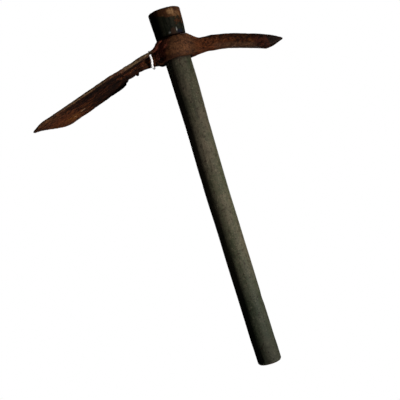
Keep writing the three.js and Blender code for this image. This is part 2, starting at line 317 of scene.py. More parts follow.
def rusted_steel():
    material, tree, surface, place = new_material("rusted_steel")
    patches = speckle(tree, place, 16, 4, 0.6, 0.4)
    mottle = speckle(tree, stretched(tree, place, 0.7, 1, 1), 3.6, 5, 0.68, 0.4)
    streaks = speckle(tree, stretched(tree, place, 0.14, 1, 1), 3.4, 4, 0.6, 0.2)
    grit = speckle(tree, place, 1.2, 4, 0.7)
    colour = ramp(tree, mottle, [
        (0.39, srgb(26, 11, 6)), (0.46, srgb(54, 25, 12)), (0.53, srgb(78, 38, 18)),
        (0.60, srgb(108, 62, 30)),
    ])
    colour = mix(tree, span(tree, patches, 0.48, 0.60, 0, 0.6), colour, srgb(84, 34, 18))
    ochre = span(tree, speckle(tree, place, 8, 3, 0.6), 0.53, 0.64)
    colour = mix(tree, calc(tree, "MULTIPLY", ochre, 0.45), colour, srgb(98, 62, 28))

    drawn = stored(tree, "drawn")
    dark_streaks = calc(tree, "MULTIPLY", drawn, span(tree, streaks, 0.42, 0.52, 0.85, 0))
    colour = mix(tree, dark_streaks, colour, srgb(20, 9, 6))
    rusty_streaks = calc(tree, "MULTIPLY", drawn, span(tree, streaks, 0.53, 0.60, 0, 0.9))
    colour = mix(tree, rusty_streaks, colour, srgb(152, 86, 42))

    def tinted(under, layer, colour_over, low, high):
        """The stored layer's tint, broken up by the mottling."""
        share = calc(tree, "MULTIPLY", stored(tree, layer), span(tree, mottle, 0.41, 0.57, low, high))
        return mix(tree, share, under, colour_over)

    colour = tinted(colour, "tan", srgb(96, 62, 38), 0.3, 0.9)
    colour = tinted(colour, "ruddy", srgb(112, 60, 32), 0.1, 0.9)
    colour = tinted(colour, "orange", srgb(134, 80, 34), 0.1, 1.0)
    colour = tinted(colour, "worn", srgb(126, 104, 76), 0.45, 1.0)
    colour = tinted(colour, "crimson", srgb(160, 82, 62), 0.5, 0.9)
    colour = tinted(colour, "ground", srgb(44, 30, 22), 0.4, 1.0)
    # Painted light on the pick's lower edge.
    colour = tinted(colour, "painted_light_pick_edge", srgb(104, 74, 54), 0.5, 0.95)
    # Partly scale, partly painted shade: in the blade's crease, beside and on the corners of its near rim, on
    # its far margin and on the pick's upper band.
    colour = tinted(colour, "scale_and_shade", srgb(16, 8, 6), 1.0, 0.6)
    colour = tinted(colour, "bright", srgb(188, 158, 124), 0.8, 1.0)
    colour = mix(tree, span(tree, grit, 0.58, 0.68, 0, 0.5), colour, srgb(140, 92, 60))
    # Partly painted shade, partly grime: darkens the blade's underside, the boss's foot and the pick's end.
    colour = mix(tree, stored(tree, "grime_and_shade"), colour, (0.27, 0.24, 0.22, 1), "MULTIPLY")
    colour = mix(tree, span(tree, grit, 0.38, 0.52, 0.6, 0), colour, srgb(16, 7, 4))
    put(tree, surface.inputs["Base Color"], colour)
    surface.inputs["Specular IOR Level"].default_value = 0.09
    ground = calc(tree, "MULTIPLY", stored(tree, "ground"), -0.2)
    dull = calc(tree, "ADD", span(tree, mottle, 0.3, 0.7, 0.66, 0.86), ground)
    put(tree, surface.inputs["Roughness"], dull)
    height = calc(tree, "ADD", calc(tree, "MULTIPLY", mottle, 1.0), calc(tree, "MULTIPLY", grit, 0.35))
    bump = make(tree, "ShaderNodeBump", Strength=0.9, Distance=0.7 * MM, Height=height)
    put(tree, surface.inputs["Normal"], bump.outputs[0])
    return material


def painted_wood():
    material, tree, surface, place = new_material("painted_wood")
    grain = speckle(tree, stretched(tree, place, 1, 1, 0.05), 1.3, 4, 0.6, 0.2)
    streaks = speckle(tree, stretched(tree, place, 1, 1, 0.08), 5, 3, 0.6)
    clouds = speckle(tree, stretched(tree, place, 1, 1, 0.4), 20, 4, 0.6)
    dust = speckle(tree, place, 1.6, 4, 0.7)
    blots = speckle(tree, place, 5, 4, 0.65)
    paint = ramp(tree, clouds, [
        (0.36, srgb(64, 68, 48)), (0.46, srgb(81, 80, 60)), (0.54, srgb(88, 83, 65)),
        (0.64, srgb(102, 92, 74)),
    ])
    paint = mix(tree, span(tree, streaks, 0.54, 0.7, 0, 0.35), paint, srgb(92, 86, 70))
    paint = mix(tree, span(tree, streaks, 0.32, 0.45, 0.35, 0), paint, srgb(46, 48, 36))
    paint = mix(tree, span(tree, grain, 0.34, 0.46, 0.3, 0), paint, srgb(42, 40, 30))
    paint = mix(tree, span(tree, blots, 0.52, 0.66, 0, 0.45), paint, srgb(60, 52, 40))
    paint = mix(tree, span(tree, blots, 0.34, 0.48, 0.35, 0), paint, srgb(112, 98, 80))
    paint = mix(tree, span(tree, dust, 0.54, 0.64, 0, 0.65), paint, srgb(128, 116, 94))
    freckles = speckle(tree, place, 2.6, 2, 0.6)
    paint = mix(tree, span(tree, freckles, 0.58, 0.66, 0, 0.75), paint, srgb(54, 42, 32))
    paint = mix(tree, span(tree, freckles, 0.32, 0.42, 0.4, 0), paint, srgb(58, 58, 44))
    paint = mix(tree, stored(tree, "green"), paint, (0.53, 0.69, 0.72, 1), "MULTIPLY")
    # The paint is darker by height: toward the butt, below the eye, and most of all above the eye.
    darker_by_height = calc(tree, "MULTIPLY", stored(tree, "darker_by_height"), span(tree, streaks, 0.38, 0.62, 1.0, 0.86))
    paint = mix(tree, darker_by_height, paint, (0.05, 0.065, 0.07, 1), "MULTIPLY")
    wood = ramp(tree, grain, [
        (0.36, srgb(34, 17, 8)), (0.48, srgb(66, 38, 20)), (0.62, srgb(98, 66, 38)),
    ])
    wood = mix(tree, span(tree, blots, 0.44, 0.58, 0, 0.8), wood, srgb(50, 28, 16))
    pale = calc(tree, "MULTIPLY", stored(tree, "pale"), span(tree, dust, 0.42, 0.54, 0.1, 1.0))
    wood = mix(tree, pale, wood, srgb(158, 120, 82))
    wood = mix(tree, span(tree, dust, 0.5, 0.6, 0, 0.8), wood, srgb(46, 26, 14))
    ragged = calc(tree, "MULTIPLY", calc(tree, "SUBTRACT", dust, 0.5), 1.8)
    spotty = calc(tree, "MULTIPLY", calc(tree, "SUBTRACT", blots, 0.5), 2.2)
    edge = calc(tree, "ADD", stored(tree, "bare"), calc(tree, "ADD", ragged, spotty))
    bare = span(tree, edge, 0.42, 0.62)
    colour = mix(tree, bare, paint, wood)
    colour = mix(tree, stored(tree, "brown"), colour, srgb(50, 34, 25))
    colour = mix(tree, stored(tree, "blue"), colour, srgb(18, 20, 30))
    # Painted highlights: two small pale spots above the eye stand for glints on metal.
    colour = mix(tree, stored(tree, "painted_glint_spots"), colour, srgb(120, 118, 112))
    stain = calc(tree, "MULTIPLY", stored(tree, "stain"), span(tree, dust, 0.35, 0.6, 1, 0.6))
    colour = mix(tree, stain, colour, srgb(30, 12, 8))
    put(tree, surface.inputs["Base Color"], colour)
    rough = calc(tree, "ADD", span(tree, clouds, 0.35, 0.65, 0.56, 0.68), calc(tree, "MULTIPLY", bare, 0.2))
    put(tree, surface.inputs["Roughness"], rough)
    matt = calc(tree, "MAXIMUM", stored(tree, "darker_by_height"), stored(tree, "bare"))
    put(tree, surface.inputs["Specular IOR Level"], span(tree, matt, 0.1, 1.0, 0.14, 0.03))
    height = calc(tree, "ADD", calc(tree, "MULTIPLY", grain, 0.6), calc(tree, "MULTIPLY", dust, 0.3))
    height = calc(tree, "SUBTRACT", height, calc(tree, "MULTIPLY", bare, 0.35))
    bump = make(tree, "ShaderNodeBump", Strength=0.5, Distance=0.35 * MM, Height=height)
    put(tree, surface.inputs["Normal"], bump.outputs[0])
    return material


def white_cotton():
    material, tree, surface, place = new_material("white_cotton")
    fibres = speckle(tree, stretched(tree, place, 1, 1, 0.35), 0.45, 3, 0.6)
    soil = speckle(tree, place, 7, 3, 0.6)
    colour = mix(tree, span(tree, fibres, 0.35, 0.6), srgb(236, 230, 226), srgb(255, 253, 252))
    colour = mix(tree, span(tree, soil, 0.58, 0.74, 0, 0.2), colour, srgb(200, 176, 154))
    put(tree, surface.inputs["Base Color"], colour)
    surface.inputs["Roughness"].default_value = 0.95
    surface.inputs["Specular IOR Level"].default_value = 0.15
    surface.inputs["Sheen Weight"].default_value = 0.5
    # Painted light: a weak glow keeps the white string bright where it lies in shade.
    surface.inputs["Emission Color"].default_value = (1, 1, 1, 1)
    surface.inputs["Emission Strength"].default_value = 0.2
    bump = make(tree, "ShaderNodeBump", Strength=0.6, Distance=0.15 * MM, Height=fibres)
    put(tree, surface.inputs["Normal"], bump.outputs[0])
    return material


# ---- Shape tools ----

def through(pairs):
    """A function through the pairs with no overshoot between them (monotone cubic)."""
    at, value = np.array(pairs, float).T
    slope = np.diff(value) / np.diff(at)
    left = np.concatenate([slope[:1], slope])
    right = np.concatenate([slope, slope[-1:]])
    product = left * right
    tangent = np.where(product > 0, 2 * product / np.where(left + right == 0, 1, left + right), 0)

    def curve(x):
        x = np.clip(x, at[0], at[-1])
        i = np.clip(np.searchsorted(at, x, side="right") - 1, 0, len(at) - 2)
        gap = at[i + 1] - at[i]
        t = (x - at[i]) / gap
        begin = (1 + 2 * t) * (1 - t) ** 2 * value[i] + t * (1 - t) ** 2 * gap * tangent[i]
        return begin + t * t * (3 - 2 * t) * value[i + 1] - t * t * (1 - t) * gap * tangent[i + 1]

    return curve


def smoothstep(x, low, high):
    t = np.clip((x - low) / (high - low), 0, 1)
    return t * t * (3 - 2 * t)


def noise(points, size, seed, layers=1):
    """Smooth seeded noise of about -1..1 at each point, with bumps about `size` apart."""
    maker = np.random.default_rng(seed)
    order = np.tile(maker.permutation(256), 2)
    slopes = maker.normal(size=(256, 3))
    slopes /= np.linalg.norm(slopes, axis=1)[:, None]
    total = np.zeros(len(points))
    weight = 1.0
    for layer in range(layers):
        p = points / size * 2**layer + 17.3 * layer
        cell = np.floor(p).astype(int)
        inside = p - cell
        ease = inside**3 * (inside * (inside * 6 - 15) + 10)
        for corner in np.ndindex(2, 2, 2):
            c = np.array(corner)
            i = (cell + c) & 255
            which = order[order[order[i[:, 0]] + i[:, 1]] + i[:, 2]]
            share = np.prod(np.where(c == 1, ease, 1 - ease), axis=1)
            total += 1.6 * weight * share * np.einsum("ij,ij->i", slopes[which], inside - c)
        weight *= 0.5
    return total


def new_piece(name, points, faces, material=None):
    """A mesh object from points in millimetres."""
    data = bpy.data.meshes.new(name)
    data.from_pydata((np.asarray(points) * MM).tolist(), [], faces)
    data.update()
    if material:
        data.materials.append(material)
    piece = bpy.data.objects.new(name, data)
    bpy.context.scene.collection.objects.link(piece)
    return piece


def grid_faces(rows, columns):
    """Four-sided faces between rows of points, each row closed round."""
    faces = []
    for r in range(rows - 1):
        for i in range(columns):
            j = (i + 1) % columns
            faces.append((r * columns + i, r * columns + j, (r + 1) * columns + j, (r + 1) * columns + i))
    return faces


def end_faces(rows, columns):
    """One face over the first row of points and one over the last."""
    last = (rows - 1) * columns
    return [tuple(range(columns - 1, -1, -1)), tuple(range(last, last + columns))]


def loft(name, rings):
    """A closed body with its skin from ring to ring along +X and a face over each end."""
    count = len(rings[0])
    faces = grid_faces(len(rings), count) + end_faces(len(rings), count)
    return new_piece(name, np.concatenate(rings), faces)


def lathe(profile, sides):
    """Points and faces of a closed solid of revolution, from (radius, height) pairs off the axis."""
    angle = np.arange(sides) / sides * 2 * math.pi
    rings = [np.stack([r * np.cos(angle), r * np.sin(angle), np.full(sides, z)], 1) for r, z in profile]
    return np.concatenate(rings), grid_faces(len(rings), sides) + end_faces(len(rings), sides)


def joined(shapes):
    """One array of points and one list of faces from several (points, faces) pairs."""
    points, faces, start = [], [], 0
    for shape_points, shape_faces in shapes:
        points.append(shape_points)
        faces += [tuple(start + v for v in face) for face in shape_faces]
        start += len(shape_points)
    return np.concatenate(points), faces


def finished_mesh(piece):
    """The piece's mesh with its modifiers applied. The piece is removed."""
    seen = piece.evaluated_get(bpy.context.evaluated_depsgraph_get())
    data = bpy.data.meshes.new_from_object(seen)
    bpy.data.objects.remove(piece)
    return data


def cut(piece, tool):
    """Takes the tool's shape out of the piece."""
    change = piece.modifiers.new("cut", "BOOLEAN")
    change.operation = "DIFFERENCE"
    change.solver = "EXACT"
    change.object = tool


def read_points(data):
    points = np.empty(len(data.vertices) * 3)
    data.vertices.foreach_get("co", points)
    return points.reshape(-1, 3) / MM


def write_points(data, points):
    data.vertices.foreach_set("co", (points * MM).ravel())
    data.update()


def read_normals(data):
    normals = np.empty(len(data.vertices) * 3)
    data.vertex_normals.foreach_get("vector", normals)
    return normals.reshape(-1, 3)


def smoothed(data, points, rounds, share, outward=None):
    """The points moved toward the middle of their neighbours, by `share` (one number for each point).
    With outward directions, they only move outward, which fills hollows and keeps edges."""
    ends = np.empty(len(data.edges) * 2, int)
    data.edges.foreach_get("vertices", ends)
    ends = ends.reshape(-1, 2)
    count = np.bincount(ends.ravel(), minlength=len(points))[:, None]
    for _ in range(rounds):
        total = np.zeros_like(points)
        for axis in range(3):
            total[:, axis] = np.bincount(ends[:, 0], points[ends[:, 1], axis], len(points))
            total[:, axis] += np.bincount(ends[:, 1], points[ends[:, 0], axis], len(points))
        move = share[:, None] * (total / count - points)
        if outward is not None:
            move[np.einsum("ij,ij->i", move, outward) < 0] = 0
        points = points + move
    return points


def store(data, name, values):
    """Keeps one number for each point, which a material reads by its name."""
    layer = data.attributes.new(name, "FLOAT", "POINT")
    layer.data.foreach_set("value", np.clip(values, 0, 1).astype(np.float32))


def shade_smooth(data):
    data.polygons.foreach_set("use_smooth", [True] * len(data.polygons))


# ---- Handle ----

def handle_profile(step):
    """Radius and height pairs from the middle of the butt up to the middle of the top."""
    radius = through(HANDLE_PROFILE)
    butt_flat = GRIP_RADIUS - BUTT_ROUNDING
    pairs = [(r, 0.0) for r in np.arange(0.3, butt_flat, 1.1)]
    for angle in np.linspace(-math.pi / 2, 0, 7):
        height = BUTT_ROUNDING + BUTT_ROUNDING * math.sin(angle)
        pairs.append((butt_flat + BUTT_ROUNDING * math.cos(angle), height))
    shoulder = HANDLE_LENGTH - TOP_CROWN - TOP_ROUNDING
    pairs += [(float(radius(z)), z) for z in np.arange(BUTT_ROUNDING + step, shoulder - step / 2, step)]
    edge = TOP_RADIUS - TOP_ROUNDING
    for angle in np.linspace(0, math.pi / 2, 6):
        pairs.append((edge + TOP_ROUNDING * math.cos(angle), shoulder + TOP_ROUNDING * math.sin(angle)))
    for r in np.arange(edge - 1, 0.2, -1.0):
        pairs.append((r, HANDLE_LENGTH - TOP_CROWN * (r / edge) ** 2))
    return pairs


def share_in_eye(z):
    """1 for the stretch of the handle that is in the eye, and 0 away from it."""
    return smoothstep(z, EYE_BOTTOM - 4, EYE_BOTTOM) * (1 - smoothstep(z, EYE_TOP, EYE_TOP + 3))


def aged_handle(points, normals):
    """The turned handle's points moved to an uneven, dented, bowed handle with a frayed top."""
    z = points[:, 2]
    side = np.hypot(normals[:, 0], normals[:, 1])
    in_eye = share_in_eye(z)
    uneven = 0.22 * noise(points * (1, 1, 0.25), 14, 3) + 0.07 * noise(points * (1, 1, 0.06), 2.4, 4, 2)
    dents = smoothstep(noise(points * (1, 1, 0.5), 9, 5), 0.45, 0.9)
    near_top = smoothstep(z, HANDLE_LENGTH - 7, HANDLE_LENGTH - 1)
    frayed = near_top * (0.4 * noise(points, 5, 6, 3) + 0.05)
    move = side * (uneven * (1 - 0.7 * in_eye) - 0.35 * dents * (1 - in_eye)) + frayed
    move *= smoothstep(z, 0, 1.5)
    move += smoothstep(z, HANDLE_LENGTH - 2, HANDLE_LENGTH - 0.5) * 0.25 * noise(points, 2.2, 8, 2)
    bow = through(HANDLE_BOW)(z)[:, None] * (math.cos(VIEW_TURN), math.sin(VIEW_TURN), 0)
    return points + normals * np.clip(move, -1.1, 0.3)[:, None] + bow


def store_paint_layers(data, points):
    """Stores where the handle's paint is gone or dirty, where it is darker by height, and the painted
    highlights above the eye.
    """
    z = points[:, 2]
    around = np.arctan2(points[:, 1], points[:, 0])

    def blot(turn, height, wide, tall):
        """A spot at `turn` degrees round the handle."""
        away = np.mod(around - math.radians(turn) + math.pi, 2 * math.pi) - math.pi
        across = away * np.hypot(points[:, 0], points[:, 1])
        distance = np.hypot(across / wide, (z - height) / tall)
        return 1 - smoothstep(distance + 0.25 * noise(points, 2, 13), 0.7, 1.1)

    lower_edge = HANDLE_LENGTH - 7.6 - 6.5 * np.cos(around + math.radians(20))
    bare_top = smoothstep(z, lower_edge - 6, lower_edge + 4)
    right_side = smoothstep(np.cos(around + math.radians(15)), 0.6, 0.95)
    flecks = 0.5 * smoothstep(z, EYE_TOP + 4, EYE_TOP + 16) * right_side
    bare_butt = 0.9 * smoothstep(z, 2.0, 0.2)
    store(data, "bare", np.maximum.reduce([bare_top, flecks, bare_butt]))
    store(data, "green", 0.7 * (1 - smoothstep(z, 50, 170)))
    # How much darker the paint is at each height: more toward the butt and below the eye, and fully above the
    # eye.
    darkening_by_height = through([
        (0, 0.55), (30, 0.42), (80, 0.24), (140, 0), (180, 0.02), (240, 0.16), (315, 0.42), (350, 0.5),
    ])
    store(data, "darker_by_height", np.maximum(darkening_by_height(z), smoothstep(z, EYE_TOP - 4, EYE_TOP + 1)))
    # Painted highlights: two small spots above the eye that stand for glints on metal.
    store(data, "painted_glint_spots", np.maximum(blot(-52, 387.9, 0.9, 2.2), 0.5 * blot(-81, 385.7, 1.3, 1.3)))
    store(data, "blue", 0.8 * blot(-38, 384.6, 4.5, 3.4))
    store(data, "brown", 0.8 * blot(-65, 386.4, 3.0, 4.6))
    store(data, "pale", np.maximum(blot(-57, 408.4, 5.0, 3.6), 0.35 * blot(-38, 405, 6, 4)))
    upper_rim = 1 - smoothstep(np.abs(z - EYE_TOP), 0.8, 2.0)
    lower_rim = 1 - smoothstep(np.abs(z - EYE_BOTTOM), 0.6, 1.6)
    store(data, "stain", np.maximum.reduce([upper_rim, lower_rim, 0.8 * share_in_eye(z)]))


def make_handle(material):
    points, faces = lathe(handle_profile(HANDLE_STEP), 176)
    piece = new_piece("handle", points, faces, material)
    write_points(piece.data, aged_handle(points, read_normals(piece.data)))
    store_paint_layers(piece.data, points)
    shade_smooth(piece.data)
    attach(piece, "handle")
    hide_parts("handle")


# ---- Head ----

def bar_ring(x, near, far, top, bottom, low_round, high_round):
    """Outline of one cut across an arm: a bar with rounded edges, between y = near and y = far."""
    turn = np.linspace(0, math.pi / 2, 5)
    inward = 1 - np.sin(turn)
    along = 1 - np.cos(turn)
    ys, zs = [], []

    def side(y, height, rise, sign):
        ys.append(y)
        zs.append(height(y) + sign * rise)

    y = np.linspace(near + low_round, far - low_round, 42)[1:-1]
    side(y, bottom, 0, 1)
    side(far - inward * low_round, bottom, along * low_round, 1)
    y = far - inward[::-1] * high_round
    side(y, top, along[::-1] * high_round, -1)
    y = np.linspace(far - high_round, near + high_round, 42)[1:-1]
    side(y, top, 0, -1)
    side(near + inward * high_round, top, along * high_round, -1)
    y = near + inward[::-1] * low_round
    side(y, bottom, along[::-1] * low_round, 1)
    y, z = np.concatenate(ys), np.concatenate(zs)
    return np.stack([np.full(len(y), float(x)), y, z], 1)


def level(height):
    """An upper or lower face that has one height all across the arm."""
    return lambda y: height + 0 * y


def make_blade():
    """The hoe blade with its neck. Its outlines are pairs of reach and width, or reach and height."""
    near_side = through([
        (8, 19), (22, 17.6), (28, 17.2), (48, 17.8), (58, 18.8), (64, 22.4), (69, 31), (74, 36), (80, 37.4),
        (110, 37.8), (152, 38.4), (166, 38.2), (172, 37), (175, 35.4), (BLADE_REACH, 33),
    ])
    far_side = through([
        (8, 19), (22, 17.6), (28, 17), (47, 16.8), (50, 19.8), (54, 20.6), (59, 19.4), (63, 21.4), (65, 26),
        (68, 29.2), (71.6, 30.4), (73.2, 37.6), (80, 38.6), (110, 39.2), (150, 40.6), (155, 39), (160, 32.6),
        (163.5, 20), (172.3, -20), (BLADE_REACH, -29),
    ])
    rise = through([
        (8, 5.7), (16, 4.6), (22, 2.5), (28, 2.6), (38, 3.4), (48, 3.6), (58, 3.7), (64, 3.1), (70, 1.1),
        (76, 0.2), (90, 0),
    ])
    hollow = through([(8, 0), (14, 0), (24, NECK_HOLLOW), (50, NECK_HOLLOW), (66, 0), (76, 0)])
    rings = []
    for reach in np.arange(BLADE_REACH, ARM_ROOT, -ARM_STEP):
        plane = HOE_ROOT_HEIGHT - HOE_DROOP * reach
        lift = float(rise(reach))
        under = plane - BLADE_THICKNESS + min(lift, NECK_UNDERCUT)
        near = -float(near_side(reach)) - SKIN_ALLOWANCE
        far = float(far_side(reach)) + SKIN_ALLOWANCE

        def top(y):
            behind = (EDGE_REACH - EDGE_SKEW * y - reach) / EDGE_BEVEL
            dip = float(hollow(reach)) * np.maximum(0, 1 - (y / NECK_HALF_WIDTH) ** 2)
            return plane + lift - dip - (1 - smoothstep(behind, 0, 1)) * (BLADE_THICKNESS - EDGE_THICKNESS)

        thin_rounding = EDGE_THICKNESS * 0.45 + 0.05 * max(0, BLADE_REACH - 12 - reach)
        rounding = min(RIM_ROUNDING, thin_rounding, (far - near) / 3)
        rings.append(bar_ring(-reach, near, far, top, level(under), rounding, rounding))
    return loft("blade", rings)


def make_rib():
    bottom = through([
        (8, 356), (20, 356.3), (25, 358.5), (30, 359.3), (36, 359.4), (46, 359.1), (53, 357), (60, 355),
        (70, 353.4), (RIB_REACH, 351.6),
    ])
    half_width = through([(8, 15), (20, 12.6), (28, 11.8), (48, 11), (64, 9.6), (RIB_REACH, 5)])
    rings = []
    for reach in np.arange(RIB_REACH, ARM_ROOT, -1.0):
        half = float(half_width(reach))
        high = HOE_ROOT_HEIGHT - HOE_DROOP * reach - 1
        low = float(bottom(reach))
        rounding = min(RIB_ROUNDING, (high - low) * 0.45)
        rings.append(bar_ring(-reach, -half, half, level(high), level(low), rounding, 1))
    return loft("rib", rings)


def make_pick():
    top, bottom = through(PICK_TOP), through(PICK_BOTTOM)
    half_width = through([(8, 16), (18, 14), (24, 12), (32, 11), (98, 10.4), (103, 8.8), (PICK_REACH, 1.6)])
    rings = []
    for x in np.append(np.arange(ARM_ROOT, PICK_REACH, ARM_STEP), PICK_REACH):
        half, high, low = float(half_width(x)), float(top(x)), float(bottom(x))
        low_round = min(PICK_LOW_ROUNDING, half * 0.3, (high - low) * 0.25)
        high_round = min(PICK_HIGH_ROUNDING, half * 0.4, (high - low) * 0.35)
        rings.append(bar_ring(x, -half, half, level(high), level(low), low_round, high_round))
    return loft("pick", rings)


def make_boss():
    r, low, high = BOSS_RADIUS, EYE_BOTTOM, EYE_TOP
    silhouette = through([
        (low, r - 3), (low + 0.9, r - 1.2), (low + 3.2, r - 0.4), (low + 9, r), (low + 15, r - 0.5),
        (low + 20, r - 2), (high - 1.2, r - 3.9), (high, r - 5.2),
    ])
    profile = [(float(silhouette(z)), z) for z in np.linspace(low, high, 36)]
    return new_piece("boss", *lathe(profile, EYE_SIDES))


def make_knob():
    """A knob of scale on the neck's underside, beside the rib."""
    turn = np.arange(24) / 24 * 2 * math.pi
    rings = []
    for bend in np.linspace(0.12, math.pi - 0.12, 14):
        x = np.full(len(turn), SCALE_KNOB[0] - SCALE_KNOB_SIZE[0] * math.cos(bend))
        y = SCALE_KNOB[1] + SCALE_KNOB_SIZE[1] * math.sin(bend) * np.cos(turn)
        z = SCALE_KNOB[2] + SCALE_KNOB_SIZE[2] * math.sin(bend) * np.sin(turn)
        rings.append(np.stack([x, y, z], 1))
    return loft("knob", rings)


def make_bore():
    """The tool that cuts the eye: the handle's taper there with its clearance, longer at both ends."""
    radius = through(HANDLE_PROFILE)
    low, high = float(radius(EYE_BOTTOM)) + CLEARANCE, float(radius(EYE_TOP)) + CLEARANCE
    taper = (high - low) / (EYE_TOP - EYE_BOTTOM)
    past = 20
    profile = [(low - taper * past, EYE_BOTTOM - past), (high + taper * past, EYE_TOP + past)]
    return new_piece("bore", *lathe(profile, EYE_SIDES))


def make_string_hole():
    hole = new_piece("hole", *lathe([(STRING_HOLE_RADIUS, EYE_BOTTOM), (STRING_HOLE_RADIUS, EYE_TOP)], 24))
    hole.location = (STRING_HOLE[0] * MM, STRING_HOLE[1] * MM, 0)
    return hole


def make_head(material):
    """The head: its parts cut out and joined under one skin, which is then pitted and marked."""
    bore = make_bore()
    hole = make_string_hole()
    blade = make_blade()
    parts = [blade, make_rib(), make_pick(), make_boss(), make_knob()]
    for part in parts:
        cut(part, bore)
    cut(blade, hole)
    bpy.context.view_layer.update()
    meshes = [finished_mesh(part) for part in parts]
    bpy.data.objects.remove(bore)
    bpy.data.objects.remove(hole)
    shapes = [(read_points(mesh), [face.vertices for face in mesh.polygons]) for mesh in meshes]
    rough = new_piece("head_rough", *joined(shapes))
    skin = rough.modifiers.new("skin", "REMESH")
    skin.mode = "VOXEL"
    skin.voxel_size = VOXEL * MM
    bpy.context.view_layer.update()
    data = finished_mesh(rough)
    data.name = "head"
    dress_head(data)
    data.materials.clear()
    data.materials.append(material)
    shade_smooth(data)
    piece = bpy.data.objects.new("head", data)
    bpy.context.scene.collection.objects.link(piece)
    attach(piece, "head")
    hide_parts("head")


def dress_head(data):
    """Fills the seams between the arms and the boss, pits the skin, and stores where the rust differs and
    where light and shade are painted.
    """
    points = read_points(data)
    bored = np.hypot(points[:, 0], points[:, 1]) < BORE_LIMIT
    points = seams_filled(data, points, bored)
    write_points(data, points)
    at = head_areas(points, read_normals(data), bored)
    at.points = pitted_skin(points, at)
    write_points(data, at.points)
    at.patchy = np.clip(0.5 + 0.9 * noise(at.points, 11, 31, 3), 0, 1)
    store(data, "worn", worn_layer(at))
    store(data, "scale_and_shade", scale_and_shade_layer(at))
    store(data, "painted_light_pick_edge", painted_light_pick_edge_layer(at))
    store(data, "grime_and_shade", grime_and_shade_layer(at))
    store(data, "crimson", crimson_layer(at))
    store(data, "ground", smoothstep(at.x, 102.5, 105.5))
    store(data, "drawn", drawn_layer(at))
    store(data, "tan", (1 - smoothstep(np.hypot(at.x - 13, at.y + 19), 11, 25)) * (at.z < 381))
    store(data, "ruddy", ruddy_layer(at))
    store(data, "orange", orange_layer(at))
    store(data, "bright", bright_layer(at))


def seams_filled(data, points, bored):
    """The points evened a little, and more so that they fill the seams between arms and boss."""
    seam = (1 - smoothstep(np.abs(np.abs(points[:, 0]) - SEAM_AT), 5, 12)) * ~bored
    points = smoothed(data, points, 1, np.full(len(points), 0.5))
    return smoothed(data, points, 40, 0.5 * seam, read_normals(data))


def head_areas(points, normals, bored):
    """Each point's place, and its share, 0 to 1, in the areas that more than one function needs."""
    x, y, z = points.T
    reach = -x
    on_blade = smoothstep(reach, 20, 26)
    under = smoothstep(-normals[:, 2], 0.3, 0.8)
    near_face = smoothstep(-normals[:, 1], 0.3, 0.75)
    near_rim = near_face * on_blade * smoothstep(-y, 14, 17)
    low_corner = near_rim * smoothstep(-normals[:, 2], 0.25, 0.55)
    low_corner *= 1 - smoothstep(-normals[:, 2], 0.8, 0.95)
    crease_y = -18.2 + 0.8 * noise(points, 9, 25, 2)
    beside_crease = smoothstep(np.abs(y - crease_y), 1.0, 2.8)
    low_side = 1 - smoothstep(z, 343, 351)
    # crease, far_margin, low_corner and high_corner place painted shade: the crease under the near rim, the
    # blade's far shoulder underneath, and the near rim's corners, which turn from the light.
    return SimpleNamespace(
        x=x, y=y, z=z, reach=reach, normals=normals, bored=bored, on_blade=on_blade, under=under,
        near_face=near_face, near_rim=near_rim, low_corner=low_corner,
        edge=EDGE_REACH - EDGE_SKEW * y,
        neck=1 - smoothstep(reach, 40, 80),
        high_corner=near_rim * smoothstep(normals[:, 2], 0.2, 0.5),
        crease=on_blade * under * smoothstep(reach, 78, 92) * (1 - beside_crease),
        strip=on_blade * under * smoothstep(-y, 17, 19) * smoothstep(reach, 125, 150),
        far_margin=on_blade * under * smoothstep(y, 8, 28) * (1 - smoothstep(reach, 88, 112)) * 0.9,
        pick_band=smoothstep(x, 86, 94) * (1 - smoothstep(x, 102, 105)) * (0.25 + 0.75 * low_side),
    )


def pitted_skin(points, at):
    """The points moved to the uneven, scaled and rotten skin of an old forging."""
    thin_pick = smoothstep(at.x, 100, 116)
    thin = np.maximum(smoothstep(at.reach, at.edge - EDGE_BEVEL, at.edge - 2), thin_pick)
    forged = 0.28 * noise(points, 17, 21, 2)
    scale = 0.14 * noise(points, 5.5, 22, 3)
    pits = smoothstep(noise(points, 3.4, 23, 2), 0.35, 0.8)
    rotten = (1 - smoothstep(at.reach, 70, 120)) * at.on_blade
    scabs = smoothstep(noise(points, 7, 24, 2), 0.1, 0.6)
    move = forged + scale - (0.20 + 0.25 * rotten) * pits - 0.35 * rotten * scabs - 0.35 * at.crease
    move *= (1 - 0.75 * thin) * ~at.bored
    points = points + at.normals * move[:, None]
    gnawed = smoothstep(at.reach, 62, 66) * (1 - smoothstep(at.reach, 90, 100)) * smoothstep(at.y, 20, 26)
    points[:, 1] -= 0.5 * gnawed * np.clip(0.2 + noise(points * (1, 0.3, 0.3), 3.2, 26, 2), 0, 1)
    return points


def worn_layer(at):
    """The blade's near rim and cutting edge, rubbed to bare steel."""
    fading = 1 - 0.6 * smoothstep(at.reach, 120, 155)
    worn = at.near_rim * (0.7 + 0.3 * at.neck) * (1 - at.low_corner) * (1 - at.high_corner) * fading
    worn = np.maximum(worn, 0.15 * at.strip) * (1 - 0.6 * smoothstep(at.normals[:, 0], 0.1, 0.4))
    return np.maximum(worn, 0.25 * smoothstep(at.reach, at.edge - 3, at.edge))


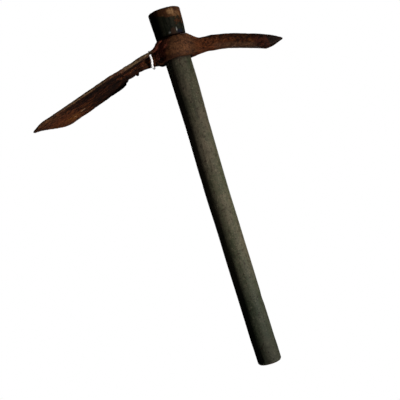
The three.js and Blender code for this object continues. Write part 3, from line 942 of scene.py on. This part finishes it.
def scale_and_shade_layer(at):
    """Blackening, partly scale and partly painted shade: scale on the eye, a band on the pick and the blade's
    outer end, and darker over the blade's shoulder, more so on its far half; painted shade in the crease and
    the strip beside the near rim under the blade, on the blade's far margin, on the near rim's upper and
    lower corners and on the pick's upper band, where edges turn from the light.
    """
    shoulder = 1 - smoothstep(at.reach, 95, 140)
    far_half = smoothstep(at.y, -14, 10)
    blade = at.on_blade * (1 - at.near_rim) * shoulder * (0.4 + 0.5 * far_half) * (0.6 + 0.8 * at.patchy)
    blade *= smoothstep(at.reach, 34, 60)
    # Painted shade: the strip beside the near rim under the blade.
    beside_rim = at.on_blade * at.under * (1 - smoothstep(at.y - 8 * at.neck, -20, -12))
    beside_rim *= 1 - smoothstep(at.reach, 115, 145)
    lip = np.where(at.z > 370, 17.6, 15.6)
    eye_rim = (1 - smoothstep(np.abs(np.hypot(at.x, at.y) - lip), 0.6, 1.8)) * (np.abs(at.x) < 20)
    on_pick = smoothstep(at.x, 34, 48) * (1 - smoothstep(at.x, 100, 104))
    # Painted shade: the pick's upper band, where its rounded top edge turns from the light.
    upper_band = on_pick * (1 - smoothstep(through(PICK_TOP)(at.x) - at.z, 3.5, 7))
    return np.maximum.reduce([
        blade, 0.9 * eye_rim, 0.85 * at.pick_band, 0.9 * at.bored, at.far_margin, 0.9 * at.crease,
        0.6 * at.low_corner, 0.6 * at.high_corner, 0.75 * upper_band, beside_rim,
        0.7 * smoothstep(at.reach, 160, 172),
    ])


def painted_light_pick_edge_layer(at):
    """Painted light: the pick's paler lower edge, where its underside catches the light."""
    above = at.z - through(PICK_BOTTOM)(at.x)
    return 0.7 * (smoothstep(at.x, 40, 52) * (1 - smoothstep(at.x, 90, 97)) * (1 - smoothstep(above, 3, 6)))


def grime_and_shade_layer(at):
    """Darkening, partly painted shade and partly grime: painted shade under the blade, darkest near the neck
    where the handle's shadow falls, on the boss's foot, which faces down, and on the blade's near faces that
    turn toward the eye; grime at the pick's end; darker also on the boss's upper left and along a strip under
    the near rim.
    """
    # Painted shade on the boss's foot, which faces down.
    low_boss = 0.9 * (1 - smoothstep(at.z, 359.5, 364)) * (np.abs(at.x) < 24)
    low_boss *= 1 - 0.5 * smoothstep(at.x, 0, 12)
    # Painted shade under the blade, darkest near the neck where the handle's shadow falls.
    near_neck = 1 - 0.5 * smoothstep(at.reach, 105, 135)
    blade = at.on_blade * at.under * smoothstep(at.reach, 30, 46) * np.maximum(near_neck, at.far_margin)
    high_left = 0.7 * smoothstep(at.z, 367, 371) * (1 - smoothstep(at.x, -19, -13)) * (at.reach < 27)
    shoulder_face = at.on_blade * at.near_face * smoothstep(at.normals[:, 0], 0.1, 0.4)
    return np.maximum.reduce([
        low_boss, blade, 0.3 * shoulder_face, high_left, 0.5 * at.strip, 0.6 * smoothstep(at.x, 84, 92),
        0.9 * smoothstep(at.x, 94, 99),
    ])


def crimson_layer(at):
    """Redder rust: two stains on the near side of the boss, a band on the pick, and the crease."""
    distance = np.hypot((at.x + 11) / 10, (at.z - 374.5) / 6) + 0.4 * noise(at.points, 6, 33, 2)
    left_boss = (1 - smoothstep(at.x + 0.25 * at.y, -22, -10)) * (1 - smoothstep(at.reach, 18, 23))
    left_boss *= 0.6 + 0.6 * at.patchy
    left_boss *= (1 - 0.8 * smoothstep(at.z, 370, 374)) * smoothstep(at.z, 357, 364)
    stain = np.maximum(1 - smoothstep(distance, 0.5, 1.3), left_boss) * (at.y < 0)
    return np.maximum.reduce([0.8 * at.pick_band, stain, 0.4 * at.crease])


def drawn_layer(at):
    """Streaks drawn out along the blade's underside."""
    drawn = at.on_blade * at.under * smoothstep(at.reach, 44, 70) * (1 - 0.6 * smoothstep(at.reach, 120, 150))
    return drawn * (1 - 0.6 * at.far_margin)


def ruddy_layer(at):
    """Brighter rust: the pick's root and the outer end of the blade."""
    root = smoothstep(at.x, 22, 28) * (1 - smoothstep(at.x, 48, 80))
    tip = smoothstep(at.reach, 118, 150) * (1 - 0.8 * smoothstep(at.reach, 158, 169))
    tip *= 1 - 0.8 * smoothstep(-at.y, 16, 20)
    return np.maximum(0.85 * root, 0.8 * tip)


def orange_layer(at):
    """One orange patch under the blade."""
    distance = np.hypot((at.reach - 140) / 13, (at.y - 16) / 15) + 0.5 * noise(at.points, 5, 34, 2)
    return at.on_blade * at.under * (1 - smoothstep(distance, 0.3, 1.1))


def bright_layer(at):
    """A fresh scratch and a nick in the rust under the blade."""
    along = at.reach - 126.2
    scratch = np.hypot(np.clip(np.abs(along) - 2.6, 0, None), (at.y - 10 - 0.18 * along) / 1.1)
    nick = np.hypot((at.reach - 138.9) / 1.7, (at.y - 16.9) / 2.4)
    marks = np.maximum(1 - smoothstep(scratch, 0.5, 1.3), 0.5 * (1 - smoothstep(nick, 0.5, 1.2)))
    return marks * at.under * at.on_blade


# ---- String ----

def closed_route(knots, count):
    """Evenly timed points along a closed centripetal Catmull-Rom curve through the knots."""
    knots = np.array(knots, float)
    gaps = np.linalg.norm(np.roll(knots, -1, 0) - knots, axis=1) ** 0.5
    points = []
    for i in range(len(knots)):
        p0, p1, p2, p3 = (knots[(i + k) % len(knots)] for k in (-1, 0, 1, 2))
        g0, g1, g2 = gaps[i - 1], gaps[i], gaps[(i + 1) % len(knots)]
        start = (p1 - p0) / g0 - (p2 - p0) / (g0 + g1) + (p2 - p1) / g1
        end = (p2 - p1) / g1 - (p3 - p1) / (g1 + g2) + (p3 - p2) / g2
        for t in np.arange(count) / count:
            points.append(
                (2 * t**3 - 3 * t**2 + 1) * p1 + (t**3 - 2 * t**2 + t) * g1 * start
                + (3 * t**2 - 2 * t**3) * p2 + (t**3 - t**2) * g1 * end
            )
    return np.array(points)


def frames_along(path, closed):
    """Two directions across the path at each point, turned as little as can be from one to the next."""
    ahead = np.roll(path, -1, 0) - np.roll(path, 1, 0) if closed else np.gradient(path, axis=0)
    ahead /= np.linalg.norm(ahead, axis=1)[:, None]
    first = np.cross(ahead[0], (0.3, 0.9, 0.2))
    first /= np.linalg.norm(first)
    sides = [first]
    for i in range(1, len(path)):
        side = sides[-1] - ahead[i] * (sides[-1] @ ahead[i])
        sides.append(side / np.linalg.norm(side))
    sides = np.array(sides)
    return sides, np.cross(ahead, sides)


def tube(path, radius, closed, sides=8):
    """Points and faces of a round tube along the path. A number for radius, or one for each point."""
    across, along = frames_along(path, closed)
    angle = np.arange(sides) / sides * 2 * math.pi
    radius = np.broadcast_to(radius, len(path))
    rings = [
        path[i] + radius[i] * (np.cos(angle)[:, None] * across[i] + np.sin(angle)[:, None] * along[i])
        for i in range(len(path))
    ]
    faces = grid_faces(len(path), sides)
    if not closed:
        return np.concatenate(rings), faces + end_faces(len(path), sides)
    last = (len(path) - 1) * sides
    shift = best_shift(rings[-1], rings[0])
    for i in range(sides):
        j = (i + 1) % sides
        faces.append((last + i, last + j, (j + shift) % sides, (i + shift) % sides))
    return np.concatenate(rings), faces


def best_shift(ring, other):
    """How far the other ring's points are numbered round from the ring's."""
    count = len(ring)
    return min(range(count), key=lambda s: np.linalg.norm(ring - np.roll(other, -s, 0), axis=1).sum())


def twisted(path, closed, radius, pitch, plies=3):
    """The paths of the plies of a twisted string that follows the path."""
    across, along = frames_along(path, closed)
    step = np.linalg.norm(np.diff(path, axis=0, append=path[:1] if closed else path[-1:]), axis=1)
    run = np.concatenate([[0], np.cumsum(step)[:-1]])
    total = step.sum()
    turns = max(1, round(total / pitch))
    made = []
    for k in range(plies):
        angle = 2 * math.pi * (turns * run / total + k / plies)
        if closed:
            angle = angle + closing_turn(across, along, path) * run / total
        made.append(path + radius * (np.cos(angle)[:, None] * across + np.sin(angle)[:, None] * along))
    return made


def closing_turn(across, along, path):
    """The angle by which the last frame of a closed path is turned from its first."""
    ahead = path[0] - path[-1]
    ahead /= np.linalg.norm(ahead)
    carried = across[-1] - ahead * (across[-1] @ ahead)
    return -math.atan2(carried @ along[0], carried @ across[0])


def knot_route():
    """A small overhand knot round the string on top of the neck, with two short tails."""
    t = np.linspace(0, 1, 70)
    turn = t * 2 * math.pi * 1.5
    wrap = np.stack([
        -28.9 + 1.9 * np.sin(turn), 6.8 + 3.6 * t + 0.5 * np.sin(2 * turn), 373.9 + 1.1 * np.cos(turn),
    ], 1)
    tail_in = np.array([(-34.2, 2.4, 372.3), (-32.6, 3.8, 372.9), (-30.6, 5.6, 374.3)])
    tail_out = np.array([(-27.2, 11.4, 374.5), (-25.2, 12.4, 374.5), (-23.6, 13.8, 375.2)])
    return np.concatenate([tail_in, wrap[4:-4], tail_out])


def resampled(path, count):
    """Points evenly spaced along a smoothed open path."""
    for _ in range(3):
        path = np.concatenate([path[:1], (path[:-2] + 2 * path[1:-1] + path[2:]) / 4, path[-1:]])
    run = np.concatenate([[0], np.cumsum(np.linalg.norm(np.diff(path, axis=0), axis=1))])
    at = np.linspace(0, run[-1], count)
    return np.stack([np.interp(at, run, path[:, k]) for k in range(3)], 1)


def make_string(material):
    loop = closed_route(STRING_ROUTE, 40)
    knot = resampled(knot_route(), 150)
    strands = [(ply, LOOP_PLY_RADIUS, True) for ply in twisted(loop, True, LOOP_PLY_OFFSET, LOOP_PITCH)]
    strands += [(ply, KNOT_PLY_RADIUS, False) for ply in twisted(knot, False, KNOT_PLY_OFFSET, KNOT_PITCH)]
    shapes = []
    for path, radius, closed in strands:
        wobble = 1 + 0.08 * noise(path, 1.5, 41, 2)
        shapes.append(tube(path, radius * wobble, closed))
    points, faces = joined(shapes)
    piece = new_piece("tag_string", points, faces, material)
    shade_smooth(piece.data)
    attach(piece, "head")
    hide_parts("tag_string")


# ---- The scene ----


bpy.context.scene.view_settings.view_transform = "Standard"
make_light(*make_camera())
make_surroundings()
make_floor()
make_handle(painted_wood())
make_head(rusted_steel())
make_string(white_cotton())
